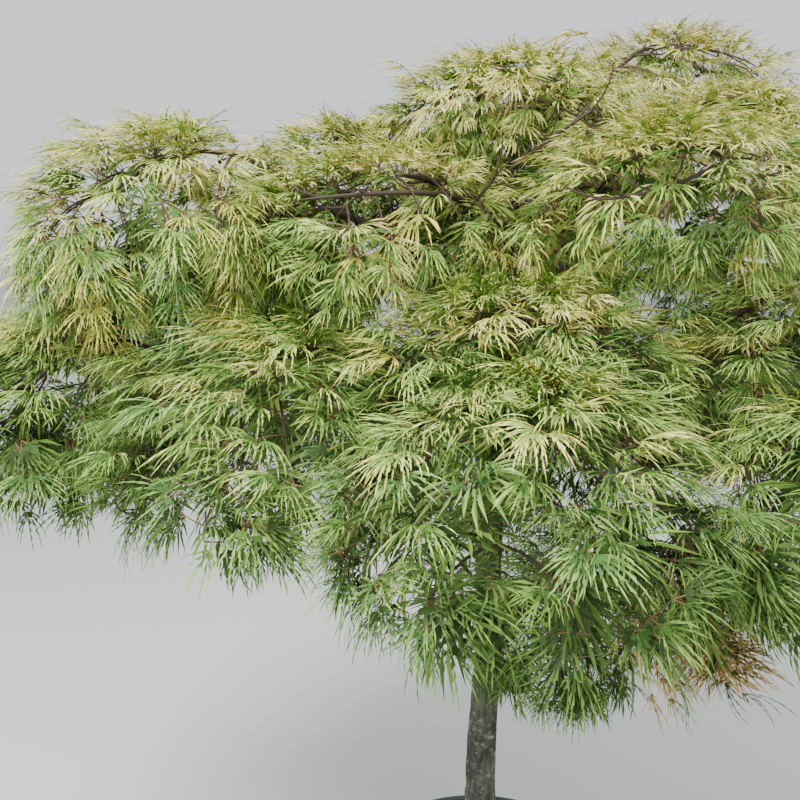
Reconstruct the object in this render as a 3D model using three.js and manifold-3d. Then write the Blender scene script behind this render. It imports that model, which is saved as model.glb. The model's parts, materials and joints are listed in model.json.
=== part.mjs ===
// A weeping laceleaf maple in a black nursery pot, as separate solids: pot, soil, trunk, limbs and masses of foliage.
// Millimetres, +Z up, origin at the middle of the pot's flat underside. The photograph looks along +Y, with +X to
// the right. Every limb is one tapering tube, and every mass of foliage is one fused solid that keeps to a space of
// its own and clear of the others.
import * as THREE from "three";
import { mergeVertices } from "three/addons/utils/BufferGeometryUtils.js";
import Module from "manifold-3d";

const wasm = await Module();
wasm.setup();

// Driving dimensions

const CLEARANCE = 0.3; // between two solids that meet on the real plant

const POT_HEIGHT = 330;
const POT_BASE_RADIUS = 180;
const POT_RIM_RADIUS = 218;
const POT_WALL = 5;
const POT_FOOT_BEVEL = 8;
const POT_SIDES = 32;
const RIM_DEPTH = 26; // height of the turned-over rim
const RIM_OVERHANG = 9;
const RIM_BEVEL = 4;
const SOIL_BELOW_RIM = 30;

const TRUNK_RADIUS = 32; // without the root flare, at the soil
const TRUNK_TOP = 1060; // height of the fork's end
const TRUNK_TOP_RADIUS = 19;
const TRUNK_BEND = 15; // how far the middle of the trunk wanders to the left
const FLARE_HEIGHT = 95;
const FLARE_WIDTH = 27; // added to the trunk's radius at the soil
const FLARE_RIBS = 5; // surface roots that show as ribs
const FLARE_RELIEF = 0.22; // share of the radius that the ribs stand out by

const CROWN_CENTRE = { x: 72, y: 90 }; // the crown leans to the right and away from the viewer
const CROWN_WIDE = 920; // half its spread along X
const CROWN_DEEP = 750; // half its spread along Y

// Rings of foliage from the top down. reach is a share of the half spread; level is the height of a mass's middle;
// rise lifts the ring on the side named by highAt; along, across and deep are the half sizes of a mass's space.
const TOP = { count: 5, first: -60, reach: 0.4, level: 1690, rise: 95, highAt: 65 };
const MIDDLE = { count: 6, first: -98, reach: 0.68, level: 1490, rise: 70, highAt: 90 };
const SKIRT = { count: 10, first: -94, reach: 0.86, level: 1235, rise: 40, highAt: 120 };
const RINGS = [
  { name: "top", ...TOP, along: 415, across: 400, deep: 250 },
  { name: "middle", ...MIDDLE, along: 450, across: 430, deep: 310 },
  { name: "skirt", ...SKIRT, along: 450, across: 430, deep: 380 },
];

// Two masses crown the plant: the apex to the right and behind, and a lower crest above the trunk.
const PEAKS = [
  { name: "apex", x: 380, y: 325, level: 1885, along: 400, across: 400, deep: 235 },
  { name: "crest", x: 30, y: 70, level: 1795, along: 360, across: 360, deep: 220 },
];

// A small spray that hangs beside the trunk under the crown.
const INNER = { name: "inner", turn: -50, reach: 150, level: 900, along: 280, across: 260, deep: 260 };

// Where the crown leaves its even shape: a high tier on the left, a low front, and a notch between the two.
const HUMPS = [
  { ring: "middle", at: 205, width: 42, lift: 190, reach: 0 },
  { ring: "skirt", at: 190, width: 42, lift: 100, reach: 0 },
  { ring: "middle", at: -95, width: 40, lift: -80, reach: -0.2 },
  { ring: "skirt", at: -84, width: 40, lift: 110, reach: 0 },
  { ring: "skirt", at: 228, width: 20, lift: 50, reach: -0.2 },
];

const JITTER_TURN = 4; // degrees
const JITTER_REACH = 0.03; // share of the half spread
const JITTER_LEVEL = 22;

const LEADER_RADIUS = 17;
const BOUGH_RADIUS = 17;
const SIDE_LIMB_RADIUS = 10.5;
const INNER_LIMB_RADIUS = 7;
const LIMB_TIP_RADIUS = 5.5;
const LIMB_SIDES = 6;
const LIMB_STEP = 150; // length of one straight piece of a limb
const LIMB_WANDER = 32; // sideways bow of a limb
const LIMB_RISE = { peak: 40, top: 190, middle: 40, skirt: 110, inner: 15 }; // upward bow
const BOW_AT = 0.42; // share of a limb's length where it bows most

const LEADER_START = { height: 1030, step: 40 }; // on the trunk, the highest first
const BOUGH_START = { height: 924, step: 25 };
const INNER_START = 850;
const SIDE_START = { middle: 0.62, skirt: 0.34, step: 0.09 }; // shares of the bough's length

const STEM_RADIUS = 9; // three-sided, so its flats lie half as far out
const STEM_TIP_RADIUS = 4;
const STEM_REACH = { ahead: 0.4, behind: 0.42, below: 0.2, bow: 0.55 }; // shares of the space's half sizes
const STEM_TURNS = [0, 8, -8, 16, -16, 24, -24]; // degrees, tried in turn where two stems would meet
const STEM_FALL = { peak: 0.1, top: 0.2, middle: 0.25, skirt: 0.45, inner: 0.4 };
const TWIG_RADIUS = 4;
const TWIG_TIP_RADIUS = 1.5;
const TWIG_PAIRS = [0.2, 0.5, 0.8]; // where pairs of twigs leave the stem, as shares of its length
const TWIG_LENGTH = { first: 0.62, less: 0.18 }; // share of the space's half width, shorter towards the tip
const TWIG_OPENING = { first: 82, less: 34 }; // degrees from the stem, narrower towards the tip
const TWIG_TRIES = [1, 0.8, 0.6]; // shares of the wanted length
const HANGING = { skirt: true, inner: true }; // rings whose twigs and leaves hang
const TWIG_DROOP = { hanging: 0.6, spreading: 0.4 };
const HAND_DROOP = { hanging: 0.85, spreading: 0.5 };

const HAND_LENGTH = 262; // one hand of leaves stands for a whole spray
const HAND_THICKNESS = 8;
const HAND_STALK = 0.24;
const HAND_LOBES = [-78, -40, 0, 40, 78]; // degrees from the hand's axis
const HAND_LOBE_SHARE = [0.7, 0.92, 1, 0.92, 0.7];
const HAND_VALLEY = 0.27; // how far out the cuts between the lobes begin
const HAND_CURL = 0.3; // how far the lobes' tips hang, as a share of their length
const HAND_TRIES = [1, 0.85, 0.7]; // sizes
const HAND_TURNS = [0, 20, -20, 40, -40, 65, -65]; // degrees
const HANDS_PER_MASS = 13;
const TIP_OVERLAP = 42; // a hand at a twig's end starts this far back, so that the tip is inside its stalk

const LEAF_GAP = 1.5; // between two masses
const SMOOTHED = 0.3; // slivers smaller than this, left where twigs and leaves are fused, are merged away

const BLACK_PLASTIC = { color: 0x1c2024, roughness: 0.5 };
const POTTING_MIX = { color: 0x3a2c20, roughness: 0.95 };
const TRUNK_BARK = { color: 0x5a564c, roughness: 0.9 };
const LIMB_BARK = { color: 0x4a443a, roughness: 0.85 };
const LEAF = { color: 0x8c9a5c, roughness: 0.6 };

// Chance and vectors

const UP = new THREE.Vector3(0, 0, 1);
const radians = THREE.MathUtils.degToRad;
const mix = THREE.MathUtils.lerp;
const vector = (x, y, z) => new THREE.Vector3(x, y, z);

// A linear congruential generator, the same one in every language.
function seeded(seed) {
  let state = seed >>> 0;
  return () => {
    state = (Math.imul(state, 1664525) + 1013904223) >>> 0;
    return state / 4294967296;
  };
}

function spread(random, size) {
  return (2 * random() - 1) * size;
}

// Solids

// A closed geometry as a solid: shared vertices merged, collapsed faces dropped.
function solidOf(geometry) {
  const bare = new THREE.BufferGeometry().setAttribute("position", geometry.getAttribute("position"));
  bare.setIndex(geometry.index);
  const merged = mergeVertices(bare, 1e-4);
  const faces = [];
  for (let i = 0; i < merged.index.count; i += 3) {
    const [a, b, c] = [0, 1, 2].map((k) => merged.index.getX(i + k));
    if (a !== b && b !== c && c !== a) faces.push(a, b, c);
  }
  const vertProperties = merged.getAttribute("position").array;
  return new wasm.Manifold(new wasm.Mesh({ numProp: 3, vertProperties, triVerts: new Uint32Array(faces) }));
}

function geometryOf(solid) {
  const mesh = solid.getMesh();
  const positions = new Float32Array(mesh.numVert * 3);
  for (let i = 0; i < mesh.numVert; i++) {
    positions.set(mesh.vertProperties.subarray(i * mesh.numProp, i * mesh.numProp + 3), i * 3);
  }
  const geometry = new THREE.BufferGeometry();
  geometry.setAttribute("position", new THREE.BufferAttribute(positions, 3));
  geometry.setIndex(new THREE.BufferAttribute(mesh.triVerts, 1));
  geometry.computeVertexNormals();
  return geometry;
}

// The largest piece of a solid: loose scraps and the walls of sealed hollows are left out.
function largest(solid) {
  return solid.decompose().reduce((best, piece) => (piece.volume() > best.volume() ? piece : best));
}

const group = new THREE.Group();

function add(name, solid, look) {
  const mesh = new THREE.Mesh(geometryOf(solid), new THREE.MeshStandardMaterial({ ...look, metalness: 0 }));
  mesh.name = name;
  group.add(mesh);
}

function turned(profile) {
  const shape = new THREE.LatheGeometry(profile.map(([r, z]) => new THREE.Vector2(r, z)), POT_SIDES);
  return solidOf(shape.rotateX(Math.PI / 2));
}

// Pot: a plain black plastic nursery container with a turned-over rim

function potWall(z) {
  return mix(POT_BASE_RADIUS, POT_RIM_RADIUS, z / POT_HEIGHT);
}

const rimFoot = POT_HEIGHT - RIM_DEPTH;
add("pot", turned([
  [0, 0],
  [POT_BASE_RADIUS - POT_FOOT_BEVEL, 0],
  [potWall(POT_FOOT_BEVEL), POT_FOOT_BEVEL],
  [potWall(rimFoot), rimFoot],
  [potWall(rimFoot) + RIM_OVERHANG, rimFoot],
  [POT_RIM_RADIUS + RIM_OVERHANG, POT_HEIGHT - RIM_BEVEL],
  [POT_RIM_RADIUS + RIM_OVERHANG - RIM_BEVEL, POT_HEIGHT],
  [POT_RIM_RADIUS - POT_WALL, POT_HEIGHT],
  [potWall(POT_WALL) - POT_WALL, POT_WALL],
  [0, POT_WALL],
]), BLACK_PLASTIC);

// Soil: the root ball inside the pot, level a little under the rim

const SOIL_TOP = POT_HEIGHT - SOIL_BELOW_RIM;
const soilFoot = POT_WALL + CLEARANCE;
add("soil", turned([
  [0, soilFoot],
  [potWall(soilFoot) - POT_WALL - CLEARANCE, soilFoot],
  [potWall(SOIL_TOP) - POT_WALL - CLEARANCE, SOIL_TOP],
  [0, SOIL_TOP],
]), POTTING_MIX);

// Tapering tubes: sections are set round a curve, each square to it; grow thickens a tube for cutting clearances

function tube(curve, across, radiusAt, sides, steps, grow = 0) {
  const places = [];
  const faces = [];
  for (let j = 0; j <= steps; j++) {
    const share = j / steps;
    const ahead = curve.getTangent(share);
    const right = across.clone().addScaledVector(ahead, -across.dot(ahead)).normalize();
    const over = ahead.clone().cross(right);
    const centre = curve.getPoint(share).addScaledVector(ahead, grow * ((j === steps) - (j === 0)));
    for (let i = 0; i < sides; i++) {
      const turn = (2 * Math.PI * i) / sides;
      const out = right.clone().multiplyScalar(Math.cos(turn)).addScaledVector(over, Math.sin(turn));
      places.push(centre.clone().addScaledVector(out, radiusAt(share) + grow));
      const [a, b] = [j * sides + i, j * sides + ((i + 1) % sides)];
      if (j < steps) faces.push(a, b, b + sides, a, b + sides, a + sides);
    }
  }
  const last = steps * sides;
  for (let i = 1; i < sides - 1; i++) faces.push(0, i + 1, i, last, last + i, last + i + 1);
  const geometry = new THREE.BufferGeometry().setFromPoints(places);
  return solidOf(geometry.setIndex(faces));
}

// An arc between two places, and the direction square to its plane.
function arc(start, bow, end) {
  const curve = new THREE.QuadraticBezierCurve3(start, bow, end);
  const square = bow.clone().sub(start).cross(end.clone().sub(bow));
  if (square.length() < 1) square.copy(end).sub(start).cross(UP);
  return { curve, square: square.normalize() };
}

// Trunk: one slender stem with its root flare, cut flat at the soil

const TRUNK_FOOT = SOIL_TOP + CLEARANCE;
const TRUNK_SIDES = 12;
const TRUNK_STEPS = 14;

class TrunkCurve extends THREE.Curve {
  getPoint(share, target = new THREE.Vector3()) {
    const sway = Math.sin(Math.PI * share) ** 2;
    const x = -TRUNK_BEND * sway * Math.cos(1.2 * Math.PI * share);
    return target.set(x, 0.5 * TRUNK_BEND * sway, mix(TRUNK_FOOT, TRUNK_TOP, share));
  }
}

const trunkCurve = new TrunkCurve();

function flareAt(height) {
  return Math.max(0, 1 - Math.max(0, height) / FLARE_HEIGHT);
}

function trunkRadius(share) {
  const flare = flareAt(share * (TRUNK_TOP - TRUNK_FOOT));
  return mix(TRUNK_RADIUS, TRUNK_TOP_RADIUS, share) + FLARE_WIDTH * flare * flare;
}

// The flare's ribs: near the foot each vertex moves out or in with its direction round the trunk.
function trunkSolid(grow = 0) {
  const plain = tube(trunkCurve, vector(1, 0, 0), trunkRadius, TRUNK_SIDES, TRUNK_STEPS, grow);
  return plain.warp((place) => {
    const rib = Math.cos(FLARE_RIBS * Math.atan2(place[1], place[0]) + 0.6);
    const out = 1 + FLARE_RELIEF * flareAt(place[2] - TRUNK_FOOT) * rib;
    place[0] *= out;
    place[1] *= out;
    place[2] = Math.max(place[2], TRUNK_FOOT);
  });
}

function onTrunk(height) {
  return trunkCurve.getPoint((height - TRUNK_FOOT) / (TRUNK_TOP - TRUNK_FOOT));
}

const grownTrunk = trunkSolid(CLEARANCE);
add("trunk", trunkSolid(), TRUNK_BARK);

// Layout of the masses, by ring and by chance

const chance = seeded(20240611);

function massAt(sizes, ring, x, y, level, middle) {
  const out = vector(x - middle.x, y - middle.y, 0).normalize();
  const centre = vector(x, y, level);
  const { name, along, across, deep } = sizes;
  const anchor = centre.clone().addScaledVector(out, -STEM_REACH.behind * along);
  anchor.addScaledVector(UP, -STEM_REACH.below * deep);
  return { name, ring, centre, anchor, out, side: UP.clone().cross(out), along, across, deep };
}

// How much of a hump a direction gets: all of it at its middle, fading to both sides.
function humpShare(turn, hump) {
  const away = THREE.MathUtils.euclideanModulo(turn - hump.at + 180, 360) - 180;
  return Math.exp(-((away / hump.width) ** 2));
}

function ringMass(ring, i) {
  const turn = ring.first + (360 / ring.count) * i + spread(chance, JITTER_TURN);
  let reach = ring.reach + spread(chance, JITTER_REACH);
  let level = ring.level + ring.rise * Math.cos(radians(turn - ring.highAt)) + spread(chance, JITTER_LEVEL);
  for (const hump of HUMPS.filter((one) => one.ring === ring.name)) {
    reach += hump.reach * humpShare(turn, hump);
    level += hump.lift * humpShare(turn, hump);
  }
  const x = CROWN_CENTRE.x + CROWN_WIDE * reach * Math.cos(radians(turn));
  const y = CROWN_CENTRE.y + CROWN_DEEP * reach * Math.sin(radians(turn));
  return massAt({ ...ring, name: `${ring.name}_${i + 1}` }, ring.name, x, y, level, CROWN_CENTRE);
}

const innerX = INNER.reach * Math.cos(radians(INNER.turn));
const innerY = INNER.reach * Math.sin(radians(INNER.turn));
const onAxis = { x: 0, y: 0 };
const crown = [
  ...PEAKS.map((peak) => massAt(peak, "peak", peak.x, peak.y, peak.level, onAxis)),
  ...RINGS.flatMap((ring) => Array.from({ length: ring.count }, (_, i) => ringMass(ring, i))),
  massAt(INNER, "inner", innerX, innerY, INNER.level, onAxis),
];
const ofRing = (ring) => crown.filter((mass) => mass.ring === ring);

// Limbs: leaders and main boughs from the trunk, side limbs from the boughs, each cut clear of those before it

const wood = [grownTrunk];

function growLimb(name, mass, start, radius) {
  const end = mass.anchor;
  const bow = start.clone().lerp(end, BOW_AT).addScaledVector(UP, LIMB_RISE[mass.ring]);
  bow.addScaledVector(end.clone().sub(start).cross(UP).normalize(), spread(chance, LIMB_WANDER));
  const { curve, square } = arc(start, bow, end);
  const radiusAt = (share) => mix(radius, LIMB_TIP_RADIUS, share ** 0.8);
  const steps = Math.max(4, Math.round(curve.getLength() / LIMB_STEP));
  const whole = tube(curve, square, radiusAt, LIMB_SIDES, steps);
  const cut = wood.reduce((left, other) => left.subtract(other), whole);
  add(name, largest(cut).asOriginal().simplify(0.05), LIMB_BARK);
  wood.push(tube(curve, square, radiusAt, LIMB_SIDES, steps, CLEARANCE));
  mass.limb = { name, curve, turn: Math.atan2(mass.centre.y, mass.centre.x) };
}

ofRing("peak").forEach((mass, i) => {
  const start = onTrunk(LEADER_START.height - LEADER_START.step * i);
  growLimb(`leader_${i + 1}`, mass, start, LEADER_RADIUS - 4 * i);
});

ofRing("top").forEach((mass, i) => {
  const start = onTrunk(BOUGH_START.height + BOUGH_START.step * ((2 * i) % TOP.count));
  growLimb(`bough_${i + 1}`, mass, start, BOUGH_RADIUS);
});

// A side limb leaves the main bough that points most nearly its way, the skirt's low and the middle ring's high.
const taken = {};

function sideStart(mass) {
  const turn = Math.atan2(mass.anchor.y, mass.anchor.x);
  const away = (bough) => Math.acos(Math.cos(turn - bough.turn));
  const bough = ofRing("top").map(({ limb }) => limb).reduce((best, one) => (away(one) < away(best) ? one : best));
  const key = `${bough.name} ${mass.ring}`;
  taken[key] = (taken[key] ?? -1) + 1;
  return bough.curve.getPoint(SIDE_START[mass.ring] - SIDE_START.step * taken[key]);
}

for (const mass of [...ofRing("middle"), ...ofRing("skirt")]) {
  growLimb(`limb_${mass.name}`, mass, sideStart(mass), SIDE_LIMB_RADIUS);
}

for (const mass of ofRing("inner")) growLimb("limb_inner", mass, onTrunk(INNER_START), INNER_LIMB_RADIUS);

// Spaces: each mass keeps to an ellipsoid about its middle, and clear of the wood and of every other mass

function inSpace(mass, places) {
  return places.every((place) => {
    const off = place.clone().sub(mass.centre);
    const [out, side] = [off.dot(mass.out) / mass.along, off.dot(mass.side) / mass.across];
    return out ** 2 + side ** 2 + (off.z / mass.deep) ** 2 < 1;
  });
}

const entry = (solid) => ({ solid, box: solid.boundingBox() });
const woodEntries = wood.map(entry);

function boxesMeet(a, b) {
  return [0, 1, 2].every((k) => a.min[k] < b.max[k] + LEAF_GAP && b.min[k] < a.max[k] + LEAF_GAP);
}

function clearOf(solid, others) {
  const box = solid.boundingBox();
  return others.every((other) => !boxesMeet(box, other.box) || solid.minGap(other.solid, 2 * LEAF_GAP) >= LEAF_GAP);
}

function othersThan(mass) {
  return crown.filter((other) => other !== mass).flatMap((other) => [...other.stems, ...other.hands]);
}

// Twigs: a stem that goes on from the limb's tip and arches over, and pairs of twigs that leave it and droop

const tapering = (from, to) => (share) => mix(from, to, share);
const droopOf = (droop, mass) => (HANGING[mass.ring] ? droop.hanging : droop.spreading);

function stemArc(mass, turn) {
  const start = mass.anchor.clone().addScaledVector(mass.limb.curve.getTangent(1), CLEARANCE);
  const bow = mass.centre.clone().addScaledVector(UP, STEM_REACH.bow * mass.deep);
  const tip = mass.centre.clone().addScaledVector(mass.out, STEM_REACH.ahead * mass.along);
  tip.addScaledVector(UP, -STEM_FALL[mass.ring] * mass.deep);
  for (const place of [bow, tip]) place.sub(start).applyAxisAngle(UP, radians(turn)).add(start);
  return arc(start, bow, tip);
}

function growStem(mass) {
  for (const turn of STEM_TURNS) {
    mass.stem = stemArc(mass, turn);
    const solid = tube(mass.stem.curve, mass.stem.square, tapering(STEM_RADIUS, STEM_TIP_RADIUS), 3, 4);
    mass.stems = [entry(solid)];
    if (clearOf(solid, othersThan(mass))) return;
  }
}

function twigArc(mass, share, hand, factor) {
  const start = mass.stem.curve.getPoint(share);
  const opening = radians(TWIG_OPENING.first - TWIG_OPENING.less * share);
  const way = mass.out.clone().multiplyScalar(Math.cos(opening));
  way.addScaledVector(mass.side, hand * Math.sin(opening));
  const length = factor * mass.across * (TWIG_LENGTH.first - TWIG_LENGTH.less * share);
  const bow = start.clone().addScaledVector(way, 0.55 * length).addScaledVector(UP, 0.1 * length);
  const end = start.clone().addScaledVector(way, length);
  return arc(start, bow, end.addScaledVector(UP, -droopOf(TWIG_DROOP, mass) * length));
}

function growTwig(mass, share, hand) {
  const vary = 1 + spread(mass.random, 0.08);
  for (const factor of TWIG_TRIES) {
    const { curve, square } = twigArc(mass, share, hand, vary * factor);
    if (!inSpace(mass, [curve.getPoint(0.5), curve.getPoint(1)])) continue;
    const solid = tube(curve, square, tapering(TWIG_RADIUS, TWIG_TIP_RADIUS), 3, 2);
    if (!clearOf(solid, woodEntries) || !clearOf(solid, othersThan(mass))) continue;
    mass.stems.push(entry(solid));
    mass.twigs.push({ curve, hand });
    return;
  }
}

const SEED_STEP = 7919;
crown.forEach((mass, index) => {
  Object.assign(mass, { random: seeded(SEED_STEP * (index + 1)), stems: [], twigs: [], hands: [] });
});
crown.forEach(growStem);
for (const share of TWIG_PAIRS) {
  for (const mass of crown) [-1, 1].forEach((hand) => growTwig(mass, share, hand));
}

// Hands of leaves: five pointed lobes and a stalk on one thin blade, ridged along each lobe on both faces

function handSolid(root, axis, size) {
  const ahead = axis.clone().normalize();
  const side = UP.clone().cross(ahead).normalize();
  const face = ahead.clone().cross(side);
  const stalk = HAND_STALK * HAND_LENGTH * size;
  const reach = HAND_LENGTH * size - stalk;
  const centre = root.clone().addScaledVector(ahead, stalk);
  const at = (turn, far, fall) => centre.clone()
    .addScaledVector(ahead, Math.cos(radians(turn)) * far)
    .addScaledVector(side, Math.sin(radians(turn)) * far)
    .addScaledVector(face, -fall);
  const outline = [root];
  HAND_LOBES.forEach((turn, i) => {
    if (i > 0) outline.push(at((turn + HAND_LOBES[i - 1]) / 2, HAND_VALLEY * reach, 0.03 * reach));
    const far = reach * HAND_LOBE_SHARE[i];
    outline.push(at(turn, far, HAND_CURL * far));
  });
  const ridges = [HAND_THICKNESS / 2, -HAND_THICKNESS / 2].map((off) => centre.clone().addScaledVector(face, off));
  const count = outline.length;
  const faces = outline.flatMap((_, i) => [count, i, (i + 1) % count, count + 1, (i + 1) % count, i]);
  const geometry = new THREE.BufferGeometry().setFromPoints([...outline, ...ridges]);
  return { outline, solid: solidOf(geometry.setIndex(faces)) };
}

// Places for hands on a mass: the ends of the stem and twigs, the middles of the twigs, and along the stem.
function handPlaces(mass) {
  const { stem, twigs, out, side } = mass;
  const ends = [stem, ...twigs].map(({ curve }, on) => {
    const axis = curve.getTangent(1);
    return { root: curve.getPoint(1).addScaledVector(axis, -TIP_OVERLAP), axis, on, end: true };
  });
  const middles = twigs.map(({ curve, hand }, i) => (
    { root: curve.getPoint(0.5), axis: out.clone().addScaledVector(side, 0.5 * hand).normalize(), on: i + 1 }
  ));
  const ahead = [0.62, 0.35].map((share) => ({ root: stem.curve.getPoint(share), axis: out, on: 0 }));
  const back = { root: stem.curve.getPoint(0.12), axis: out.clone().negate(), on: 0 };
  return [...ends, ...middles, ...ahead, back];
}

function growHand(mass, { root, axis, on, end }) {
  const vary = spread(mass.random, 0.15);
  const lean = end ? 0 : vary - droopOf(HAND_DROOP, mass);
  const others = [...othersThan(mass), ...mass.hands, ...mass.stems.filter((_, i) => i !== on)];
  for (const size of HAND_TRIES) {
    for (const turn of end ? [0] : HAND_TURNS) {
      const way = axis.clone().addScaledVector(UP, lean).applyAxisAngle(UP, radians(turn));
      const { outline, solid } = handSolid(root, way, size);
      if (!inSpace(mass, outline) || !clearOf(solid, woodEntries) || !clearOf(solid, others)) continue;
      mass.hands.push(entry(solid));
      return;
    }
  }
}

// One hand for each mass in turn, so that no mass takes the room of another.
const places = crown.map(handPlaces);
for (let i = 0; i < Math.max(...places.map((own) => own.length)); i++) {
  crown.forEach((mass, k) => {
    if (places[k][i] && mass.hands.length < HANDS_PER_MASS) growHand(mass, places[k][i]);
  });
}

const grownWood = wood.reduce((sum, solid) => sum.add(solid));
for (const mass of crown) {
  const parts = [...mass.stems, ...mass.hands].map(({ solid }) => solid);
  const whole = parts.reduce((sum, part) => sum.add(part)).asOriginal().simplify(SMOOTHED);
  add(`foliage_${mass.name}`, largest(whole.subtract(grownWood)), LEAF);
}

export default group;
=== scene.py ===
import json
from math import acos, atan2, ceil, cos, exp, hypot, pi, radians, sin, sqrt
from types import SimpleNamespace

import bpy
import numpy as np
from mathutils import Matrix, Vector, noise

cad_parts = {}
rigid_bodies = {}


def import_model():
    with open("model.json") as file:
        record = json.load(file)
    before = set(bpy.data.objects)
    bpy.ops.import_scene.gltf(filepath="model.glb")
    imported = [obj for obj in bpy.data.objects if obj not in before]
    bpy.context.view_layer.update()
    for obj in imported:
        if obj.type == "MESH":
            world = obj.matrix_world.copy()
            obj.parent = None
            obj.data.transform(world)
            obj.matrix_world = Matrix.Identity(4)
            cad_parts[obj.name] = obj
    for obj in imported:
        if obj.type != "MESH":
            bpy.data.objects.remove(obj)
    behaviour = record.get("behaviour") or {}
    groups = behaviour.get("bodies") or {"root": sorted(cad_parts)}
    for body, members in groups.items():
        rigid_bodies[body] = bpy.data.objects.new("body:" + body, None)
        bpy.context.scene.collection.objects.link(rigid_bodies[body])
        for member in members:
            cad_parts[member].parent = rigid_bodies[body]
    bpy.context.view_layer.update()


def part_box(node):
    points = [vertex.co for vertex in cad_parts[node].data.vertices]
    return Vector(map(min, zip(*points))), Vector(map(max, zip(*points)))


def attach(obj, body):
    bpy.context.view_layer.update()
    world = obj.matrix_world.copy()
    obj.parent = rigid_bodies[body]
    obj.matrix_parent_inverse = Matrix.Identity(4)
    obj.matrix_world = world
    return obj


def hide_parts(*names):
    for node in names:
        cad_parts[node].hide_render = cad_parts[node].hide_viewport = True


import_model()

# Pot
# A black nursery container, blow-moulded in polyethylene. The lip is rolled outwards and hangs free of the
# wall, a stacking shoulder runs round it, and eight drain holes are punched low in the wall. Measures are in
# millimetres, and a place says how far right, back and up.

POT_SIDES = 96
POT_PROFILE = [
    (0, 3), (150, 3), (154, 0), (175, 0), (179, 1.4), (181, 5),
    (185.2, 40), (205.4, 232), (206.4, 240), (209.2, 243), (210.2, 248), (216.3, 314), (217.6, 317.5),
    (219.8, 317), (220.6, 305.5), (222, 304), (224, 304), (225.2, 305.5), (226.7, 322),
    (226.2, 326.5), (224.2, 329.2), (221, 330), (216.5, 330), (214.2, 328.6), (213.2, 325),
    (206.8, 250), (201.5, 232), (178, 9), (174, 5.2), (0, 5),
]
DRAIN_HOLES = 8
DRAIN_RADIUS = 11
DRAIN_HEIGHT = 22
DRILL_PROFILE = [(0, 165), (DRAIN_RADIUS, 165), (DRAIN_RADIUS, 200), (0, 200)]
DRILL_SIDES = 16
DUST_BLOTCH = 111
STREAK_WIDTH = 16.7


def linear(code):
    """A colour from its sRGB hex code."""
    parts = [int(code[k:k + 2], 16) / 255 for k in (1, 3, 5)]
    return [p / 12.92 if p <= 0.04045 else ((p + 0.055) / 1.055) ** 2.4 for p in parts] + [1.0]


def add_node(tree, kind, inputs=None, stops=(), **settings):
    """A node with its settings; an input is a value or the socket that feeds it, and a ramp has its stops."""
    node = tree.nodes.new(kind)
    for key, value in settings.items():
        setattr(node, key, value)
    for key, value in (inputs or {}).items():
        if isinstance(value, bpy.types.NodeSocket):
            tree.links.new(value, node.inputs[key])
        else:
            node.inputs[key].default_value = value
    if stops:
        elements = node.color_ramp.elements
        while len(elements) < len(stops):
            elements.new(0.5)
        for element, (place, code) in zip(elements, stops):
            element.position = place
            element.color = linear(code)
    return node


def finish(name, roughness, code="#808080", specular=0.5, ior=1.5):
    """A material with one plain base colour; returns it with its tree and its shader."""
    material = bpy.data.materials.new(name)
    material.use_nodes = True
    tree = material.node_tree
    shader = tree.nodes["Principled BSDF"]
    shader.inputs["Base Color"].default_value = linear(code)
    shader.inputs["Roughness"].default_value = roughness
    shader.inputs["Specular IOR Level"].default_value = specular
    shader.inputs["IOR"].default_value = ior
    return material, tree, shader


def mesh_of(name, places, faces):
    mesh = bpy.data.meshes.new(name)
    mesh.from_pydata([tuple(0.001 * c for c in place) for place in places], [], faces)
    return mesh


def put_in_scene(name, data):
    thing = bpy.data.objects.new(name, data)
    bpy.context.scene.collection.objects.link(thing)
    return thing


def piece_of(name, places, faces, materials, marks=None, crease=40):
    """A piece whose marks give each face's material, sharp where it bends by over crease degrees."""
    mesh = mesh_of(name, places, faces)
    for material in materials:
        mesh.materials.append(material)
    if marks is not None:
        mesh.polygons.foreach_set("material_index", marks)
    mesh.shade_smooth()
    mesh.set_sharp_from_angle(angle=radians(crease))
    return put_in_scene(name, mesh)


def turned(profile, sides):
    """Places and faces of a (radius, height) profile turned about the vertical axis, closed at its poles."""
    places, faces, rings = [], [], []
    for radius, height in profile:
        count = sides if radius > 0 else 1
        rings.append([len(places) + i for i in range(count)])
        for i in range(count):
            turn = 2 * pi * i / sides
            places.append((radius * cos(turn), radius * sin(turn), height))
    for low, high in zip(rings, rings[1:]):
        for i in range(sides):
            corners = [low[i % len(low)], low[(i + 1) % len(low)],
                       high[(i + 1) % len(high)], high[i % len(high)]]
            faces.append(list(dict.fromkeys(corners)))
    return places, faces


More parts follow.
